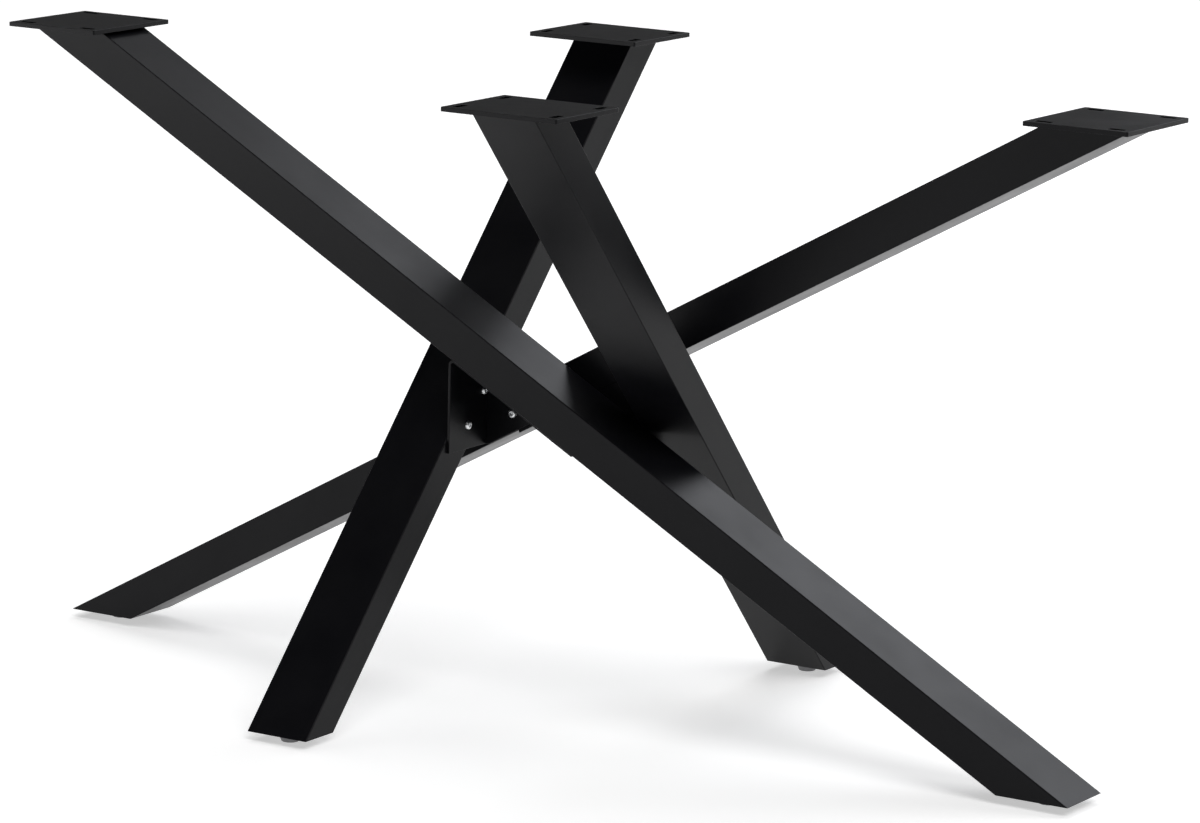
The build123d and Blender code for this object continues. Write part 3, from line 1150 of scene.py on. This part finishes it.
@dataclass(frozen=True)
class PhotoCamera:
    """Camera at the photograph's place and angle."""

    place: Place = (3.1988, -5.0792, 1.5188)
    yaw: float = 31.812
    pitch: float = 11.104
    roll: float = 1.472
    lens: float = 162.81
    sensor_width: float = 36.0

    def build(self) -> bpy.types.Object:
        """Set up the camera and make it the scene's own.

        Returns:
            The camera.
        """
        yaw, pitch, roll = (math.radians(angle) for angle in (self.yaw, self.pitch, self.roll))
        ahead = Vector((-math.sin(yaw) * math.cos(pitch), math.cos(yaw) * math.cos(pitch), -math.sin(pitch)))
        level_right = ahead.cross(Vector((0, 0, 1))).normalized()
        level_up = level_right.cross(ahead)
        right = math.cos(roll) * level_right + math.sin(roll) * level_up
        up = math.cos(roll) * level_up - math.sin(roll) * level_right
        data = bpy.data.cameras.new("photo camera")
        data.lens = self.lens
        data.sensor_width = self.sensor_width
        data.sensor_fit = "HORIZONTAL"
        camera = new_object("photo camera", data)
        turn = Matrix((right, up, -ahead)).transposed().to_4x4()
        camera.matrix_world = Matrix.Translation(Vector(self.place)) @ turn
        bpy.context.scene.camera = camera
        return camera


@dataclass(frozen=True)
class SoftPanel:
    """Large soft lamp that faces the frame."""

    name: str
    place: Place
    width: float
    height: float
    power: float
    colour: tuple[float, float, float] = (1.0, 1.0, 1.0)
    target: Place = (0.0, 0.0, 0.36)

    def build(self) -> bpy.types.Object:
        """Hang the lamp.

        Returns:
            The lamp.
        """
        data = bpy.data.lights.new(self.name, "AREA")
        data.shape = "RECTANGLE"
        data.size = self.width
        data.size_y = self.height
        data.energy = self.power
        data.color = self.colour
        lamp = new_object(self.name, data)
        lamp.visible_camera = False
        lamp.location = self.place
        lamp.rotation_euler = (Vector(self.target) - Vector(self.place)).to_track_quat("-Z", "Y").to_euler()
        return lamp


@dataclass(frozen=True)
class FarLamp:
    """Soft light from far away, which falls evenly on the frame and the floor."""

    name: str
    source: Place
    strength: float
    spread: float

    def build(self) -> bpy.types.Object:
        """Hang the lamp.

        Returns:
            The lamp.
        """
        data = bpy.data.lights.new(self.name, "SUN")
        data.energy = self.strength
        data.angle = math.radians(self.spread)
        lamp = new_object(self.name, data)
        lamp.rotation_euler = Vector(self.source).to_track_quat("Z", "Y").to_euler()
        return lamp


@dataclass(frozen=True)
class Studio:
    """White floor in an evenly grey room, with soft panels and far lamps."""

    floor_reach: float = 60.0
    floor_colour: Colour = (0.82, 0.82, 0.82, 1.0)
    floor_roughness: float = 0.9
    floor_specular_level: float = 0.1
    floor_lift: float = 0.50
    room_level: float = 0.08
    lamps: tuple[SoftPanel | FarLamp, ...] = (
        SoftPanel("back panel", (0.6, 5.4, 3.3), 4.4, 2.9, 106.0, (0.93, 0.95, 1.0)),
        SoftPanel("low front panel", (-4.6, -5.0, 0.9), 3.0, 1.4, 95.0),
        FarLamp("key lamp", (0.50, -0.30, 0.81), 1.35, 40.0),
        FarLamp("rear lamp", (-0.35, 0.50, 0.79), 0.80, 35.0),
    )

    def build_floor(self) -> bpy.types.Object:
        """Lay the floor, which shows white to the eye and in reflections, less the frame's shadow.

        Returns:
            The floor.
        """
        reach = self.floor_reach
        mesh = bpy.data.meshes.new("floor")
        mesh.from_pydata([(-reach, -reach, 0), (reach, -reach, 0), (reach, reach, 0), (-reach, reach, 0)],
                         [], [(0, 1, 2, 3)])
        floor = new_object("floor", mesh)
        material, wiring, shader = start_material("white floor")
        shader.inputs["Base Color"].default_value = self.floor_colour
        shader.inputs["Roughness"].default_value = self.floor_roughness
        shader.inputs["Specular IOR Level"].default_value = self.floor_specular_level
        shader.inputs["Emission Color"].default_value = (1.0, 1.0, 1.0, 1.0)
        path = wiring.add("ShaderNodeLightPath").outputs
        seen = wiring.math("ADD", path["Is Camera Ray"], path["Is Glossy Ray"])
        seen = wiring.math("MINIMUM", wiring.math("ADD", seen, path["Is Transmission Ray"]), 1.0)
        lift = wiring.math("MULTIPLY", seen, self.floor_lift)
        wiring.tree.links.new(lift, shader.inputs["Emission Strength"])
        mesh.materials.append(material)
        return floor

    def build_room(self) -> None:
        """Light the room evenly from all sides."""
        world = bpy.data.worlds.new("room")
        world.use_nodes = True
        world.node_tree.nodes.clear()
        wiring = Wiring(world.node_tree)
        light = wiring.add("ShaderNodeBackground", {"Strength": self.room_level})
        wiring.add("ShaderNodeOutputWorld", {"Surface": light.outputs["Background"]})
        bpy.context.scene.world = world

    def build(self) -> None:
        """Set up the floor, the room and the lamps."""
        self.build_floor()
        self.build_room()
        for lamp in self.lamps:
            lamp.build()
        bpy.context.scene.view_settings.view_transform = "Standard"
        log.info("studio: floor, room and %d lamps", len(self.lamps))


def clear_startup_scene() -> None:
    """Remove what Blender's own start-up scene holds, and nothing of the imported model."""
    kept = set(frame["nodes"].values()) | set(frame["bodies"].values())
    for thing in list(bpy.data.objects):
        if thing not in kept:
            bpy.data.objects.remove(thing)


def main() -> None:
    """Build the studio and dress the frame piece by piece."""
    logging.basicConfig(level=logging.INFO, format="%(name)s: %(message)s")
    clear_startup_scene()
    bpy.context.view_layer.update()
    PhotoCamera().build()
    Studio().build()
    finishes = Finishes()
    weld_tree = PlateWeld.tree()
    long_way, cross_way = Vector((1, 0, 0)), Vector((0, 1, 0))
    long_front = LegAssembly("long_leg_front", long_way).build(weld_tree, finishes)
    long_back = LegAssembly("long_leg_back", -long_way).build(weld_tree, finishes)
    LegAssembly("cross_leg_right", cross_way, flush_weld=True).build(weld_tree, finishes)
    cross_left = LegAssembly("cross_leg_left", -cross_way, flush_weld=True).build(weld_tree, finishes)
    for name in ("corner_bracket_left", "corner_bracket_right"):
        SheetPart(name).build(finishes)
    ButtonHeadScrews(long_front, long_back, cross_left).build(finishes)
    coat_node("rivet_nuts", finishes.zinc)
    coat_node("weld_nuts", finishes.steel)


if __name__ == "__main__":
    main()
